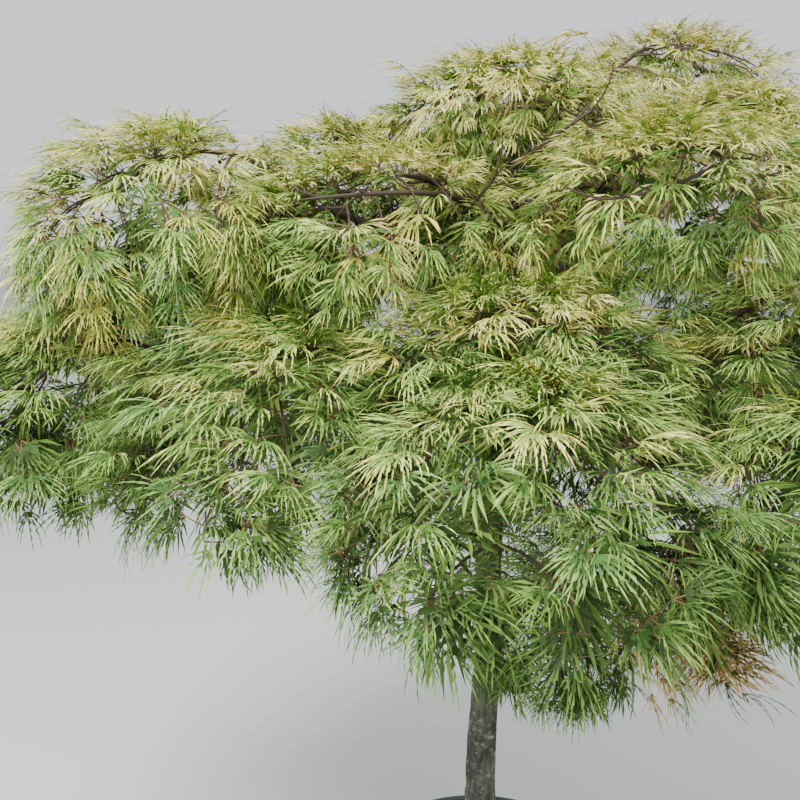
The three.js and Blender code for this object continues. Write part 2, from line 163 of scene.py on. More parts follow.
def worn_plastic():
    """Black polyethylene, slightly waxy: dusty towards the foot, greyed and scuffed along the lip."""
    material, tree, shader = finish("Blow-moulded black polyethylene", 0.48)
    place = add_node(tree, "ShaderNodeTexCoord").outputs["Object"]
    upright = add_node(tree, "ShaderNodeMapping", {"Vector": place, "Scale": (1, 1, 0.12)}).outputs["Vector"]
    height = add_node(tree, "ShaderNodeSeparateXYZ", {"Vector": place}).outputs["Z"]
    blotches = add_node(tree, "ShaderNodeTexNoise", {
        "Vector": place, "Scale": 1000 / DUST_BLOTCH, "Detail": 6, "Roughness": 0.62}).outputs["Fac"]
    streaks = add_node(tree, "ShaderNodeTexNoise", {
        "Vector": upright, "Scale": 1000 / STREAK_WIDTH, "Detail": 3}).outputs["Fac"]
    base = add_node(tree, "ShaderNodeValToRGB", {"Fac": streaks}, [(0.3, "#16181a"), (0.7, "#212427")])
    low = add_node(tree, "ShaderNodeMapRange", {
        "Value": height, "From Min": 0.0, "From Max": 0.16, "To Min": 0.85, "To Max": 0.12})
    dust = add_node(tree, "ShaderNodeMath", {0: low.outputs[0], 1: blotches}, operation="MULTIPLY")
    dusty = add_node(tree, "ShaderNodeMix", {
        0: dust.outputs[0], 6: base.outputs["Color"], 7: linear("#6b6254")}, data_type="RGBA")
    lip = add_node(tree, "ShaderNodeMapRange", {
        "Value": height, "From Min": 0.322, "From Max": 0.331, "To Min": 0.0, "To Max": 0.9})
    scuffs = add_node(tree, "ShaderNodeMath", {0: lip.outputs[0], 1: blotches}, operation="MULTIPLY")
    colour = add_node(tree, "ShaderNodeMix", {
        0: scuffs.outputs[0], 6: dusty.outputs[2], 7: linear("#6f7478")}, data_type="RGBA")
    gloss = add_node(tree, "ShaderNodeMapRange", {
        "Value": blotches, "From Min": 0.3, "From Max": 0.7, "To Min": 0.4, "To Max": 0.62})
    bump = add_node(tree, "ShaderNodeBump", {"Height": streaks, "Distance": 0.0004, "Strength": 0.5})
    tree.links.new(colour.outputs[2], shader.inputs["Base Color"])
    tree.links.new(gloss.outputs[0], shader.inputs["Roughness"])
    tree.links.new(bump.outputs["Normal"], shader.inputs["Normal"])
    return material


pot = piece_of("nursery_pot", *turned(POT_PROFILE, POT_SIDES), [worn_plastic()], crease=50)
drill_places, drill_faces = [], []
for k in range(DRAIN_HOLES):
    turn = 2 * pi * (k + 0.5) / DRAIN_HOLES
    out = Vector((cos(turn), sin(turn), 0))
    across = Vector((0, 0, 1)).cross(out)
    places, faces = turned(DRILL_PROFILE, DRILL_SIDES)
    drill_faces += [[len(drill_places) + corner for corner in face] for face in faces]
    drill_places += [across * x + out * z + Vector((0, 0, DRAIN_HEIGHT + y)) for x, y, z in places]
drill = piece_of("drill", drill_places, drill_faces, [])
cut = pot.modifiers.new("holes", "BOOLEAN")
cut.operation = "DIFFERENCE"
cut.object = drill
cut.solver = "EXACT"


def flatten(piece):
    """The piece with its modifiers made part of a plain mesh."""
    graph = bpy.context.evaluated_depsgraph_get()
    mesh = bpy.data.meshes.new_from_object(piece.evaluated_get(graph))
    mesh.name = piece.name
    piece.modifiers.clear()
    piece.data = mesh
    return piece


flatten(pot)
bpy.data.objects.remove(drill)
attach(pot, "root")
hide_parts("pot")

# Potting mix
# The root ball's surface, a little under the lip: dark composted bark, uneven, sunk at the wall and raised
# towards the trunk. Loose chips of bark and a few white grains of perlite lie on it.

SOIL_LEVEL = 300
SOIL_RINGS = 46
SOIL_SIDES = 96
SOIL_RADIUS = 209
SOIL_FOOT = (172, 5.8)
BARK_GRAIN = 5.26
BARK_LUMP = 18.2
CHIP_COUNT = 2300
PERLITE_COUNT = 150
CHIP_REACH = 197
CHIP_CLEAR = 56
CHIP_SHAPES = 4
# What a repeated shape is given at its point.
POINT_FIELDS = {"turn": "FLOAT_VECTOR", "size": "FLOAT_VECTOR", "shape": "INT", "finish": "INT"}


def chance_from(seed):
    """A seeded linear congruential generator: each call gives the next number from 0 to 1."""
    state = [seed & 0xFFFFFFFF]

    def draw():
        state[0] = (state[0] * 1664525 + 1013904223) & 0xFFFFFFFF
        return state[0] / 4294967296

    return draw


def spread(random, size):
    """A number drawn from -size to size."""
    return (2 * random() - 1) * size


def soil_height(x, y):
    """The surface of the mix: a low mound round the trunk, sunk at the wall, and lumps."""
    far = hypot(x, y)
    mound = 7 * exp(-(far / 90) ** 2) - 5 * max(0, (far - 170) / 40) ** 2
    lumps = 4.5 * noise.fractal(Vector((x, y, 0)) * 0.022, 0.7, 2.1, 4)
    return SOIL_LEVEL - 1 + mound + lumps


def composted_bark():
    """Damp composted bark, near black between the lumps and warm brown on top of them."""
    material, tree, shader = finish("Composted bark potting mix", 0.95, specular=0.25)
    place = add_node(tree, "ShaderNodeTexCoord").outputs["Object"]
    grains = add_node(tree, "ShaderNodeTexVoronoi", {"Vector": place, "Scale": 1000 / BARK_GRAIN})
    lumps = add_node(tree, "ShaderNodeTexNoise", {
        "Vector": place, "Scale": 1000 / BARK_LUMP, "Detail": 8, "Roughness": 0.7})
    shade = add_node(tree, "ShaderNodeValToRGB", {"Fac": lumps.outputs["Fac"]}, [
        (0.3, "#17110c"), (0.52, "#2c2119"), (0.72, "#4a3828")])
    bump = add_node(tree, "ShaderNodeBump", {
        "Height": grains.outputs["Distance"], "Distance": 0.004, "Strength": 0.8})
    tree.links.new(shade.outputs["Color"], shader.inputs["Base Color"])
    tree.links.new(bump.outputs["Normal"], shader.inputs["Normal"])
    return material


soil_profile = [(SOIL_RADIUS * (k / SOIL_RINGS) ** 0.8, 0) for k in range(SOIL_RINGS + 1)]
soil_places, soil_faces = turned(soil_profile + [SOIL_FOOT], SOIL_SIDES)
soil_places = [(x, y, level or soil_height(x, y)) for x, y, level in soil_places]
soil_faces.append(range(len(soil_places) - SOIL_SIDES, len(soil_places)))
soil_faces = [face[::-1] for face in soil_faces]
soil = piece_of("potting_mix", soil_places, soil_faces, [composted_bark()], crease=60)


def shape_of(name, places, faces, parts=None):
    """A small shape to be repeated; parts tell which of a finish's materials each face takes."""
    mesh = mesh_of(name, places, faces)
    attribute = mesh.attributes.new("part", "INT", "FACE")
    attribute.data.foreach_set("value", parts or [0] * len(faces))
    return bpy.data.objects.new(name, mesh)


def repeat_tree(finishes):
    """A node tree that sets a shape on each point, joins them and gives each face its material."""
    tree = bpy.data.node_groups.new("repeat", "GeometryNodeTree")
    for name, side, kind in (("Geometry", "INPUT", "Geometry"), ("Shapes", "INPUT", "Collection"),
                             ("Geometry", "OUTPUT", "Geometry")):
        tree.interface.new_socket(name, in_out=side, socket_type=f"NodeSocket{kind}")
    given = add_node(tree, "NodeGroupInput")
    field = {}
    for name, kind in (*POINT_FIELDS.items(), ("part", "INT")):
        node = add_node(tree, "GeometryNodeInputNamedAttribute", {"Name": name}, data_type=kind)
        field[name] = node.outputs["Attribute"]
    shapes = add_node(tree, "GeometryNodeCollectionInfo", {
        "Collection": given.outputs["Shapes"], "Separate Children": True, "Reset Children": True})
    turn = add_node(tree, "FunctionNodeEulerToRotation", {"Euler": field["turn"]})
    copies = add_node(tree, "GeometryNodeInstanceOnPoints", {
        "Points": given.outputs["Geometry"], "Instance": shapes.outputs[0], "Pick Instance": True,
        "Instance Index": field["shape"], "Rotation": turn.outputs[0], "Scale": field["size"]})
    flow = add_node(tree, "GeometryNodeRealizeInstances", {"Geometry": copies.outputs[0]}).outputs[0]
    parts = max(len(row) for row in finishes)
    rows = add_node(tree, "ShaderNodeMath", {0: field["finish"], 1: parts}, operation="MULTIPLY")
    code = add_node(tree, "ShaderNodeMath", {0: rows.outputs[0], 1: field["part"]}, operation="ADD")
    for row, materials in enumerate(finishes):
        for part, material in enumerate(materials):
            here = add_node(tree, "FunctionNodeCompare", {
                "A": code.outputs[0], "B": row * parts + part, "Epsilon": 0.1}, operation="EQUAL")
            flow = add_node(tree, "GeometryNodeSetMaterial", {
                "Geometry": flow, "Selection": here.outputs[0], "Material": material}).outputs[0]
    add_node(tree, "NodeGroupOutput", {"Geometry": flow})
    return tree


def repeat(name, points, shapes, tree):
    """One plain mesh of shapes at points, each with its place, turn, size, shape and finish."""
    mesh = mesh_of(name, [point.place for point in points], [])
    for key, kind in POINT_FIELDS.items():
        values = np.array([getattr(point, key) for point in points]).ravel()
        attribute = mesh.attributes.new(key, kind, "POINT")
        attribute.data.foreach_set("value" if kind == "INT" else "vector", values)
    piece = put_in_scene(name, mesh)
    modifier = piece.modifiers.new("repeat", "NODES")
    modifier.node_group = tree
    sockets = {item.name: item.identifier for item in tree.interface.items_tree if item.in_out == "INPUT"}
    modifier[sockets["Shapes"]] = shapes
    flatten(piece)
    mesh = piece.data
    used, index = np.unique([face.material_index for face in mesh.polygons], return_inverse=True)
    kept = [mesh.materials[int(k)] for k in used]
    mesh.materials.clear()
    for material in kept:
        mesh.materials.append(material)
    mesh.polygons.foreach_set("material_index", index.astype(np.int32))
    mesh.polygons.foreach_set("use_smooth", [False] * len(mesh.polygons))
    for key in (*POINT_FIELDS, "part"):
        if key in mesh.attributes:
            mesh.attributes.remove(mesh.attributes[key])
    mesh.update()
    return piece


def chip_shape(name, random):
    """A flake of bark: a thin, six-sided slab with uneven corners."""
    top, bottom = [], []
    for i in range(6):
        turn = pi * (i + spread(random, 0.25)) / 3
        far = 0.5 + spread(random, 0.13)
        top.append((0.8 * far * cos(turn), far * sin(turn) * 1.3, 0.16 + spread(random, 0.05)))
        bottom.append((far * cos(turn), far * sin(turn) * 1.45, -0.12 + spread(random, 0.05)))
    faces = [[0, 1, 2, 3, 4, 5], [11, 10, 9, 8, 7, 6]]
    faces += [[i + 6, (i + 1) % 6 + 6, (i + 1) % 6, i] for i in range(6)]
    return shape_of(name, top + bottom, faces)


soil_chance = chance_from(41)
chips = bpy.data.collections.new("chips")
for k in range(CHIP_SHAPES):
    chips.objects.link(chip_shape(f"chip_{k}", soil_chance))
chip_points = []
for k in range(CHIP_COUNT + PERLITE_COUNT):
    far = CHIP_REACH * sqrt(soil_chance())
    turn = 2 * pi * soil_chance()
    x, y = far * cos(turn), far * sin(turn)
    if far < CHIP_CLEAR:
        continue
    perlite = k >= CHIP_COUNT
    size = 4.5 + spread(soil_chance, 1.5) if perlite else 7 + 17 * soil_chance() ** 2
    thick = size if perlite else size * (0.7 + spread(soil_chance, 0.3))
    lean = Vector((spread(soil_chance, 0.45), spread(soil_chance, 0.45), 2 * pi * soil_chance()))
    chip_points.append(SimpleNamespace(
        place=(x, y, soil_height(x, y) + 0.15 * size), turn=lean, size=(size, size, thick),
        shape=int(CHIP_SHAPES * soil_chance()), finish=3 if perlite else int(3 * soil_chance())))
# Dull broken flakes in three browns, and off-white grains that stand out against them.
chip_looks = [("Dark bark chip, broken", "#241a13"), ("Red-brown bark chip, broken", "#4b3020"),
              ("Weathered bark chip, greyed", "#5b4f43"), ("Expanded perlite grain", "#c9c6bd")]
chip_finishes = [[finish(name, 0.9, code, specular=0.3)[0]] for name, code in chip_looks]
mulch = repeat("bark_chips", chip_points, chips, repeat_tree(chip_finishes))
for piece in (soil, mulch):
    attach(piece, "root")
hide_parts("soil")

# Trunk
# One slender stem, grown on from the graft, with its root flare just above the mix. The bark is thin and
# grey-brown, finely furrowed along the stem, lumpy over old pruning cuts, and spotted with pale lichen.

TRUNK_FOOT = 300.3
TRUNK_TOP = 1060
TRUNK_RADIUS = 32
TRUNK_TOP_RADIUS = 19
TRUNK_BEND = 15
TRUNK_SIDES = 64
TRUNK_STEPS = 230
TRUNK_SINK = 16
TRUNK_ROUNDING = 26
FLARE_HEIGHT = 95
FLARE_WIDTH = 27
FLARE_RIBS = 5
FLARE_RELIEF = 0.22
SWELLINGS = [(960, 60, 3.5), (385, 26, 3)]
CUTS = [(520, 0.9), (590, 4.0), (655, -1.9), (705, 2.2), (780, 5.4), (830, 0.2), (455, 3.1)]
CUT_HEIGHT = 15
CUT_TURN = 0.42
FURROW_WIDTH = 7.69
BARK_PATCH = 41.7
LICHEN_CRUST = 11.76
UP = Vector((0, 0, 1))


def mix(a, b, share):
    """The value at a share of the way from a to b."""
    return a + (b - a) * share


def trunk_at(height):
    """The middle of the slightly swayed trunk at a height."""
    share = (height - TRUNK_FOOT) / (TRUNK_TOP - TRUNK_FOOT)
    sway = sin(pi * share) ** 2
    return Vector((-TRUNK_BEND * sway * cos(1.2 * pi * share), 0.5 * TRUNK_BEND * sway, height))


def trunk_radius(height, turn):
    """How far the bark lies from the trunk's middle: taper, flare, swellings, healed cuts and furrows."""
    share = max(0, (height - TRUNK_FOOT) / (TRUNK_TOP - TRUNK_FOOT))
    flare = min(1, max(0, 1 - (height - TRUNK_FOOT) / FLARE_HEIGHT))
    radius = mix(TRUNK_RADIUS, TRUNK_TOP_RADIUS, share) + FLARE_WIDTH * flare * flare
    radius *= 1 + FLARE_RELIEF * flare * cos(FLARE_RIBS * turn + 0.6)
    radius += sum(size * exp(-((height - level) / width) ** 2) for level, width, size in SWELLINGS)
    for level, side in CUTS:
        round_by = atan2(sin(turn - side), cos(turn - side))
        away = hypot((height - level) / CUT_HEIGHT, round_by / CUT_TURN)
        radius += 4.2 * exp(-away ** 2) - 3.2 * exp(-(away / 0.42) ** 2)
    round_place = Vector((cos(turn), sin(turn), 0)) * radius
    lumps = noise.fractal(round_place * 0.024 + UP * (height * 0.014), 0.8, 2.0, 3)
    furrows = noise.fractal(round_place * 0.16 + UP * (height * 0.022), 0.6, 2.2, 4)
    radius += 1.8 * lumps - 1.3 * abs(furrows) + 0.35
    if height > TRUNK_TOP - TRUNK_ROUNDING:
        past = (height - TRUNK_TOP + TRUNK_ROUNDING) / TRUNK_ROUNDING
        radius *= sqrt(max(0.0, 1 - past ** 2))
    return radius


def mottled_bark(name, dark, mid, pale, lichen):
    """Thin maple bark: grey-brown with darker furrows, and pale crusts of lichen in patches."""
    material, tree, shader = finish(name, 0.88, specular=0.3)
    place = add_node(tree, "ShaderNodeTexCoord").outputs["Object"]
    upright = add_node(tree, "ShaderNodeMapping", {"Vector": place, "Scale": (1, 1, 0.22)}).outputs["Vector"]
    grain = add_node(tree, "ShaderNodeTexNoise", {
        "Vector": upright, "Scale": 1000 / FURROW_WIDTH, "Detail": 7, "Roughness": 0.65}).outputs["Fac"]
    patches = add_node(tree, "ShaderNodeTexNoise", {
        "Vector": place, "Scale": 1000 / BARK_PATCH, "Detail": 5, "Roughness": 0.6})
    crust = add_node(tree, "ShaderNodeTexNoise", {
        "Vector": place, "Scale": 1000 / LICHEN_CRUST, "Detail": 8, "Roughness": 0.75, "Distortion": 0.2})
    body = add_node(tree, "ShaderNodeValToRGB", {"Fac": grain}, [(0.34, dark), (0.5, mid), (0.66, pale)])
    tone = add_node(tree, "ShaderNodeValToRGB", {"Fac": patches.outputs["Fac"]}, [(0.35, dark), (0.62, pale)])
    mottled = add_node(tree, "ShaderNodeMix", {
        0: 0.42, 6: body.outputs["Color"], 7: tone.outputs["Color"]}, data_type="RGBA")
    share = add_node(tree, "ShaderNodeMapRange", {
        "Value": crust.outputs["Fac"], "From Min": 0.54, "From Max": 0.66, "To Min": 0.0, "To Max": 0.8})
    colour = add_node(tree, "ShaderNodeMix", {
        0: share.outputs[0], 6: mottled.outputs[2], 7: linear(lichen)}, data_type="RGBA")
    bump = add_node(tree, "ShaderNodeBump", {"Height": grain, "Distance": 0.0016, "Strength": 0.9})
    tree.links.new(colour.outputs[2], shader.inputs["Base Color"])
    tree.links.new(bump.outputs["Normal"], shader.inputs["Normal"])
    return material


trunk_places, trunk_faces = [], []
for step in range(TRUNK_STEPS + 1):
    height = mix(TRUNK_FOOT - TRUNK_SINK, TRUNK_TOP, step / TRUNK_STEPS)
    centre = trunk_at(max(height, TRUNK_FOOT))
    for i in range(TRUNK_SIDES):
        turn = 2 * pi * i / TRUNK_SIDES
        far = trunk_radius(height, turn)
        trunk_places.append((centre.x + far * cos(turn), centre.y + far * sin(turn), height))
        if step < TRUNK_STEPS:
            a, b = step * TRUNK_SIDES + i, step * TRUNK_SIDES + (i + 1) % TRUNK_SIDES
            trunk_faces.append([a, b, b + TRUNK_SIDES, a + TRUNK_SIDES])
trunk_faces.append(range(TRUNK_SIDES)[::-1])
trunk_faces.append(range(TRUNK_STEPS * TRUNK_SIDES, len(trunk_places)))
trunk_bark = mottled_bark("Maple trunk bark, weathered", "#22241b", "#42433a", "#66675a", "#989b88")
trunk = piece_of("trunk_bark", trunk_places, trunk_faces, [trunk_bark], crease=80)
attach(trunk, "root")
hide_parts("trunk")

# Leaders, boughs and limbs
# Grown wood: two leaders and five main boughs from the fork, sixteen limbs from the boughs and a small one
# from the trunk. Each tapers, swells into a collar where it leaves, rises, bends over and ends in a mass.

CROWN = SimpleNamespace(x=72, y=90, wide=920, deep=750)
# The masses stand in rings. Each ring starts at one side, in degrees, and is higher on another.
RINGS = [
    SimpleNamespace(name="top", count=5, first=-60, reach=0.4, level=1690, rise=95, high=65,
                    size=(415, 400, 250)),
    SimpleNamespace(name="middle", count=6, first=-98, reach=0.68, level=1490, rise=70, high=90,
                    size=(450, 430, 310)),
    SimpleNamespace(name="skirt", count=10, first=-94, reach=0.86, level=1235, rise=40, high=120,
                    size=(450, 430, 380)),
]
PEAKS = [("apex", 380, 325, 1885, (400, 400, 235)), ("crest", 30, 70, 1795, (360, 360, 220))]
INNER = SimpleNamespace(turn=-50, reach=150, level=900, size=(280, 260, 260))
# A hump in a ring: the side in degrees, its width, how much higher and how much further out.
HUMPS = [("middle", 205, 42, 190, 0), ("skirt", 190, 42, 100, 0), ("middle", -95, 40, -80, -0.2),
         ("skirt", -84, 40, 110, 0), ("skirt", 228, 20, 50, -0.2)]
LIMB_RISE = {"peak": 40, "top": 190, "middle": 40, "skirt": 110, "inner": 15}
LIMB_RADIUS = {"peak": 17, "top": 17, "middle": 10.5, "skirt": 10.5, "inner": 7}
LIMB_TIP_RADIUS = 5.5
LIMB_STEP = 16
LIMB_KINK = 15
KINK_SEED = 1795993391
SIDE_START = {"middle": 0.62, "skirt": 0.34}
LEADER_FOOT = 1030
BOUGH_FOOT = 924
INNER_FOOT = 850


class Arc:
    """An arc from start to end that leans towards bow."""

    def __init__(self, start, bow, end):
        self.start, self.bow, self.end = start, bow, end

    def at(self, share):
        near, far = (1 - share) ** 2, share ** 2
        return self.start * near + self.bow * (2 * share * (1 - share)) + self.end * far

    def way(self, share):
        return ((self.bow - self.start) * (1 - share) + (self.end - self.bow) * share).normalized()

    def length(self):
        places = [self.at(k / 8) for k in range(9)]
        return sum((b - a).length for a, b in zip(places, places[1:]))


class Shape:
    """Tubes gathered into one mesh, each with the number of its material."""

    def __init__(self):
        self.places, self.faces, self.marks = [], [], []

    def tube(self, places, radii, sides, mark=0):
        """A closed tube through places that ends in a point."""
        first = len(self.places)
        ways = [(b - a).normalized() for a, b in zip(places, places[1:])]
        ways.append(ways[-1])
        across = ways[0].orthogonal().normalized()
        for place, way, radius in zip(places[:-1], ways, radii):
            across = (across - way * across.dot(way)).normalized()
            over = way.cross(across)
            for i in range(sides):
                turn = 2 * pi * i / sides
                size = radius(turn) if callable(radius) else radius
                self.places.append(place + (across * cos(turn) + over * sin(turn)) * size)
        self.places.append(places[-1] + ways[-1] * 0.5)
        tip = len(self.places) - 1
        rows = len(places) - 1
        faces = [range(first, first + sides)[::-1]]
        for row in range(rows):
            for i in range(sides):
                a, b = first + row * sides + i, first + row * sides + (i + 1) % sides
                faces.append([a, b, b + sides, a + sides] if row < rows - 1 else [a, b, tip])
        self.faces += faces
        self.marks += [mark] * len(faces)


chance = chance_from(20240611)


def mass_at(name, ring, x, y, level, size, middle):
    """A mass of foliage: its middle, its sizes, the way it faces, and the anchor where its limb ends."""
    out = Vector((x - middle[0], y - middle[1], 0)).normalized()
    along, across, deep = size
    centre = Vector((x, y, level))
    anchor = centre - out * (0.42 * along) - UP * (0.2 * deep)
    return SimpleNamespace(name=name, ring=ring, centre=centre, anchor=anchor, out=out, side=UP.cross(out),
                           along=along, across=across, deep=deep)


def ring_mass(ring, i):
    """One mass of a ring, with some chance in its side, its reach and its height."""
    turn = ring.first + 360 / ring.count * i + spread(chance, 4)
    reach = ring.reach + spread(chance, 0.03)
    level = ring.level + ring.rise * cos(radians(turn - ring.high)) + spread(chance, 22)
    for name, at, width, lift, further in HUMPS:
        if name == ring.name:
            apart = (turn - at + 180) % 360 - 180
            share = exp(-(apart / width) ** 2)
            reach += further * share
            level += lift * share
    x = CROWN.x + CROWN.wide * reach * cos(radians(turn))
    y = CROWN.y + CROWN.deep * reach * sin(radians(turn))
    return mass_at(f"{ring.name}_{i + 1}", ring.name, x, y, level, ring.size, (CROWN.x, CROWN.y))


crown = [mass_at(name, "peak", x, y, level, size, (0, 0)) for name, x, y, level, size in PEAKS]
crown += [ring_mass(ring, i) for ring in RINGS for i in range(ring.count)]
inner_turn = radians(INNER.turn)
crown.append(mass_at("inner", "inner", INNER.reach * cos(inner_turn),
                     INNER.reach * sin(inner_turn), INNER.level, INNER.size, (0, 0)))
of_ring = {name: [mass for mass in crown if mass.ring == name] for name in LIMB_RISE}


def grow_limb(name, mass, start, thinner=0):
    """A limb that leaves older wood at start, rises and comes down to its mass's anchor."""
    end = mass.anchor
    bow = start.lerp(end, 0.42) + UP * LIMB_RISE[mass.ring]
    bow += (end - start).cross(UP).normalized() * spread(chance, 32)
    mass.limb = SimpleNamespace(name=name, arc=Arc(start, bow, end), radius=LIMB_RADIUS[mass.ring] - thinner,
                                turn=atan2(mass.centre.y, mass.centre.x))


for i, mass in enumerate(of_ring["peak"]):
    grow_limb(f"leader_{i + 1}", mass, trunk_at(LEADER_FOOT - 40 * i), thinner=4 * i)
for i, mass in enumerate(of_ring["top"]):
    grow_limb(f"bough_{i + 1}", mass, trunk_at(BOUGH_FOOT + 25 * (2 * i % 5)))
taken = {}
for mass in of_ring["middle"] + of_ring["skirt"]:
    turn = atan2(mass.anchor.y, mass.anchor.x)
    bough = min((one.limb for one in of_ring["top"]),
                key=lambda limb: acos(cos(turn - limb.turn)))
    key = (bough.name, mass.ring)
    taken[key] = taken.get(key, -1) + 1
    grow_limb(f"limb_{mass.name}", mass, bough.arc.at(SIDE_START[mass.ring] - 0.09 * taken[key]))
for mass in of_ring["inner"]:
    grow_limb("limb_inner", mass, trunk_at(INNER_FOOT))


def lumpy(size, share, index):
    """A limb's radius round one of its rings, with lumps that follow its length."""
    def radius(turn):
        place = Vector((cos(turn) * 1.6, sin(turn) * 1.6, share * 34 + index * 9))
        return size * (1 + 0.09 * noise.noise(place))

    return radius


noise.seed_set(KINK_SEED)
limb_wood = Shape()
for index, mass in enumerate(crown):
    limb = mass.limb
    steps = max(8, round(limb.arc.length() / LIMB_STEP))
    places, radii = [], []
    for step in range(steps + 1):
        share = step / steps
        calm = sin(pi * share) ** 0.7
        kink = noise.noise_vector(Vector((share * 5.5, index * 7.3, 0.4))) * (LIMB_KINK * calm)
        places.append(limb.arc.at(share) + kink)
        collar = 0.45 * exp(-(share * limb.arc.length() / 34) ** 2)
        size = mix(limb.radius, LIMB_TIP_RADIUS, share ** 0.8) * (1 + collar)
        radii.append(lumpy(size, share, index))
    limb_wood.tube(places, radii, 10 if limb.radius > 12 else 8)
limb_bark = mottled_bark("Maple limb bark, weathered", "#2a241d", "#473f35", "#62594c", "#86877a")
limbs = piece_of("limbs", limb_wood.places, limb_wood.faces, [limb_bark], crease=80)
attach(limbs, "root")
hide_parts(*[mass.limb.name for mass in crown])

# Twigs
# Young wood, as thin as wire. In each mass the limb runs on as an arching stem, twigs leave it in pairs, and
# shoots grow from them to the mass's outside, in ledges, and into the folds between masses. A few branches
# stay bare.

TWIG_SHARES = [0.2, 0.5, 0.8, 0.06, 0.35, 0.65, 0.93]
BUD_SHARES = [0.3, 0.45, 0.6, 0.75, 0.9, 1.0]
STEM_FALL = {"peak": 0.1, "top": 0.2, "middle": 0.25, "skirt": 0.45, "inner": 0.4}
HANGING = {"skirt", "inner"}
OUTER_SHOOTS = {"peak": 205, "top": 215, "middle": 205, "skirt": 185, "inner": 100}
INNER_SHOOTS = 60
SHORTEST_SHOOT = 25
LOWEST = -0.8
RIM_LEVEL = 0.4
SHADED = 0.26
BURIED = 0.42
TRUNK_CLEAR = 80
LIMB_SHOOTS = 13
LIMB_SHOOT_REACH = 150
SPRIGS = 6
FOLD_TRIES = 9000
FOLD_LEVELS = (1080, 1760)
FOLD = 115
FOLD_OPEN = 190
# A curtain of shoots: how many, and two corners of the space that it fills.
CURTAINS = [(40, (-120, -340, 890), (80, -120, 1090)), (42, (140, -540, 930), (430, -300, 1060)),
            (22, (190, -530, 885), (340, -400, 925))]
# A bare branch: its stem, the share of the stem where it starts, its radius, its bow and its end.
BARE_BRANCHES = [("top_5", 0.1, 6.5, (-60, -350, 1598), (-315, -352, 1570)),
                 ("top_5", 0.1, 4.0, (-80, -290, 1535), (-18, -305, 1608)),
                 ("top_5", 0.1, 4.0, (60, -190, 1668), (150, -205, 1722)),
                 ("top_1", 0.8, 3.4, (215, -385, 1572), (95, -415, 1568))]
# The twigs of a bare branch: the share of the branch, and the side.
BARE_TWIGS = [(0.35, -1), (0.55, 1), (0.75, -1), (0.9, 1)]
# Two corners of each opening in front of the bare branches.
WINDOWS = [((-330, -480, 1540), (10, -270, 1638)), ((30, -330, 1660), (165, -130, 1755)),
           ((95, -540, 1550), (250, -380, 1625))]
GOLDEN_ANGLE = pi * (3 - sqrt(5))
LEAF_REACH = 84
OUTWARD = 0.75
TOP_SHARE = 1.5
LEDGE = 78
LEDGE_REACH = 0.26


def offsets(mass, place):
    """Where a place lies in a mass's dome, as shares of its half sizes."""
    off = place - mass.middle
    depth = mass.half.z if off.z > 0 else mass.hang
    return Vector((off.x / mass.half.x, off.y / mass.half.y, off.z / depth))


def depth_in(masses, place):
    """How deep a place lies in masses: 0 at their surface and 1 in a mass's middle."""
    return max(0.0, max(1 - offsets(mass, place).length for mass in masses))


def slope_at(mass, place, away):
    """The way outwards from a dome's surface at a place, and the way downhill over it."""
    share = offsets(mass, place)
    normal = Vector((share.x / mass.half.x, share.y / mass.half.y, max(0.0, share.z) / mass.half.z))
    normal = (normal.normalized() + UP * (0.8 if mass.ring in HANGING else 1.2)).normalized()
    flat = Vector((place.x - mass.middle.x, place.y - mass.middle.y, 0)).normalized() + away * 0.8
    flat += Vector((place.x, place.y, 0)).normalized() * OUTWARD
    downhill = flat.normalized() * (0.3 + normal.z) - UP * (0.76 - 0.6 * normal.z)
    downhill -= normal * (0.5 * downhill.dot(normal))
    return normal, downhill.normalized()


def grow_twig(mass, share, hand):
    """A weeping twig from one side of its mass's stem, as long as the mass has room for."""
    vary = 1 + spread(mass.random, 0.08)
    start = mass.stem.at(share)
    opening = radians(82 - 34 * share)
    way = mass.out * cos(opening) + mass.side * (hand * sin(opening))
    droop = 0.6 if mass.ring in HANGING else 0.4
    for factor in (1, 0.8, 0.6, 0.4):
        length = vary * factor * mass.across * (0.62 - 0.18 * share)
        end = start + way * length - UP * (droop * length)
        arc = Arc(start, start + way * (0.55 * length) + UP * (0.03 * length), end)
        if offsets(mass, arc.at(0.5)).length < 0.96 and offsets(mass, end).length < 0.9:
            mass.twigs.append(arc)
            return


def bud_on(arc, share):
    return SimpleNamespace(place=arc.at(share), way=arc.way(share))


def under_ledge(place):
    """How far a place lies up from the edge of its own ledge of foliage to the next one: 0 at the edge."""
    return (place.z + 60 * noise.noise(place * 0.006)) / LEDGE % 1


def grow_shoot(mass, target, inside):
    """A shoot from the nearest wood of its mass to a place near the surface, bending downhill at its end."""
    def cost(bud):
        return (target - bud.place).length + 1.1 * max(0.0, target.z - bud.place.z)

    bud = min(mass.buds, key=cost)
    away = (target - bud.place) * Vector((1, 1, 0))
    away = away.normalized() if away.length > 1 else mass.out
    normal, downhill = slope_at(mass, target, away)
    end = target - downhill * (0.5 * LEAF_REACH)
    length = (end - bud.place).length
    if length < SHORTEST_SHOOT:
        return
    bow = bud.place.lerp(end, 0.55) + normal * (0.22 * length) + bud.way * (0.12 * length)
    mass.shoots.append(SimpleNamespace(arc=Arc(bud.place, bow, end), away=away, inside=inside, sprig=False))


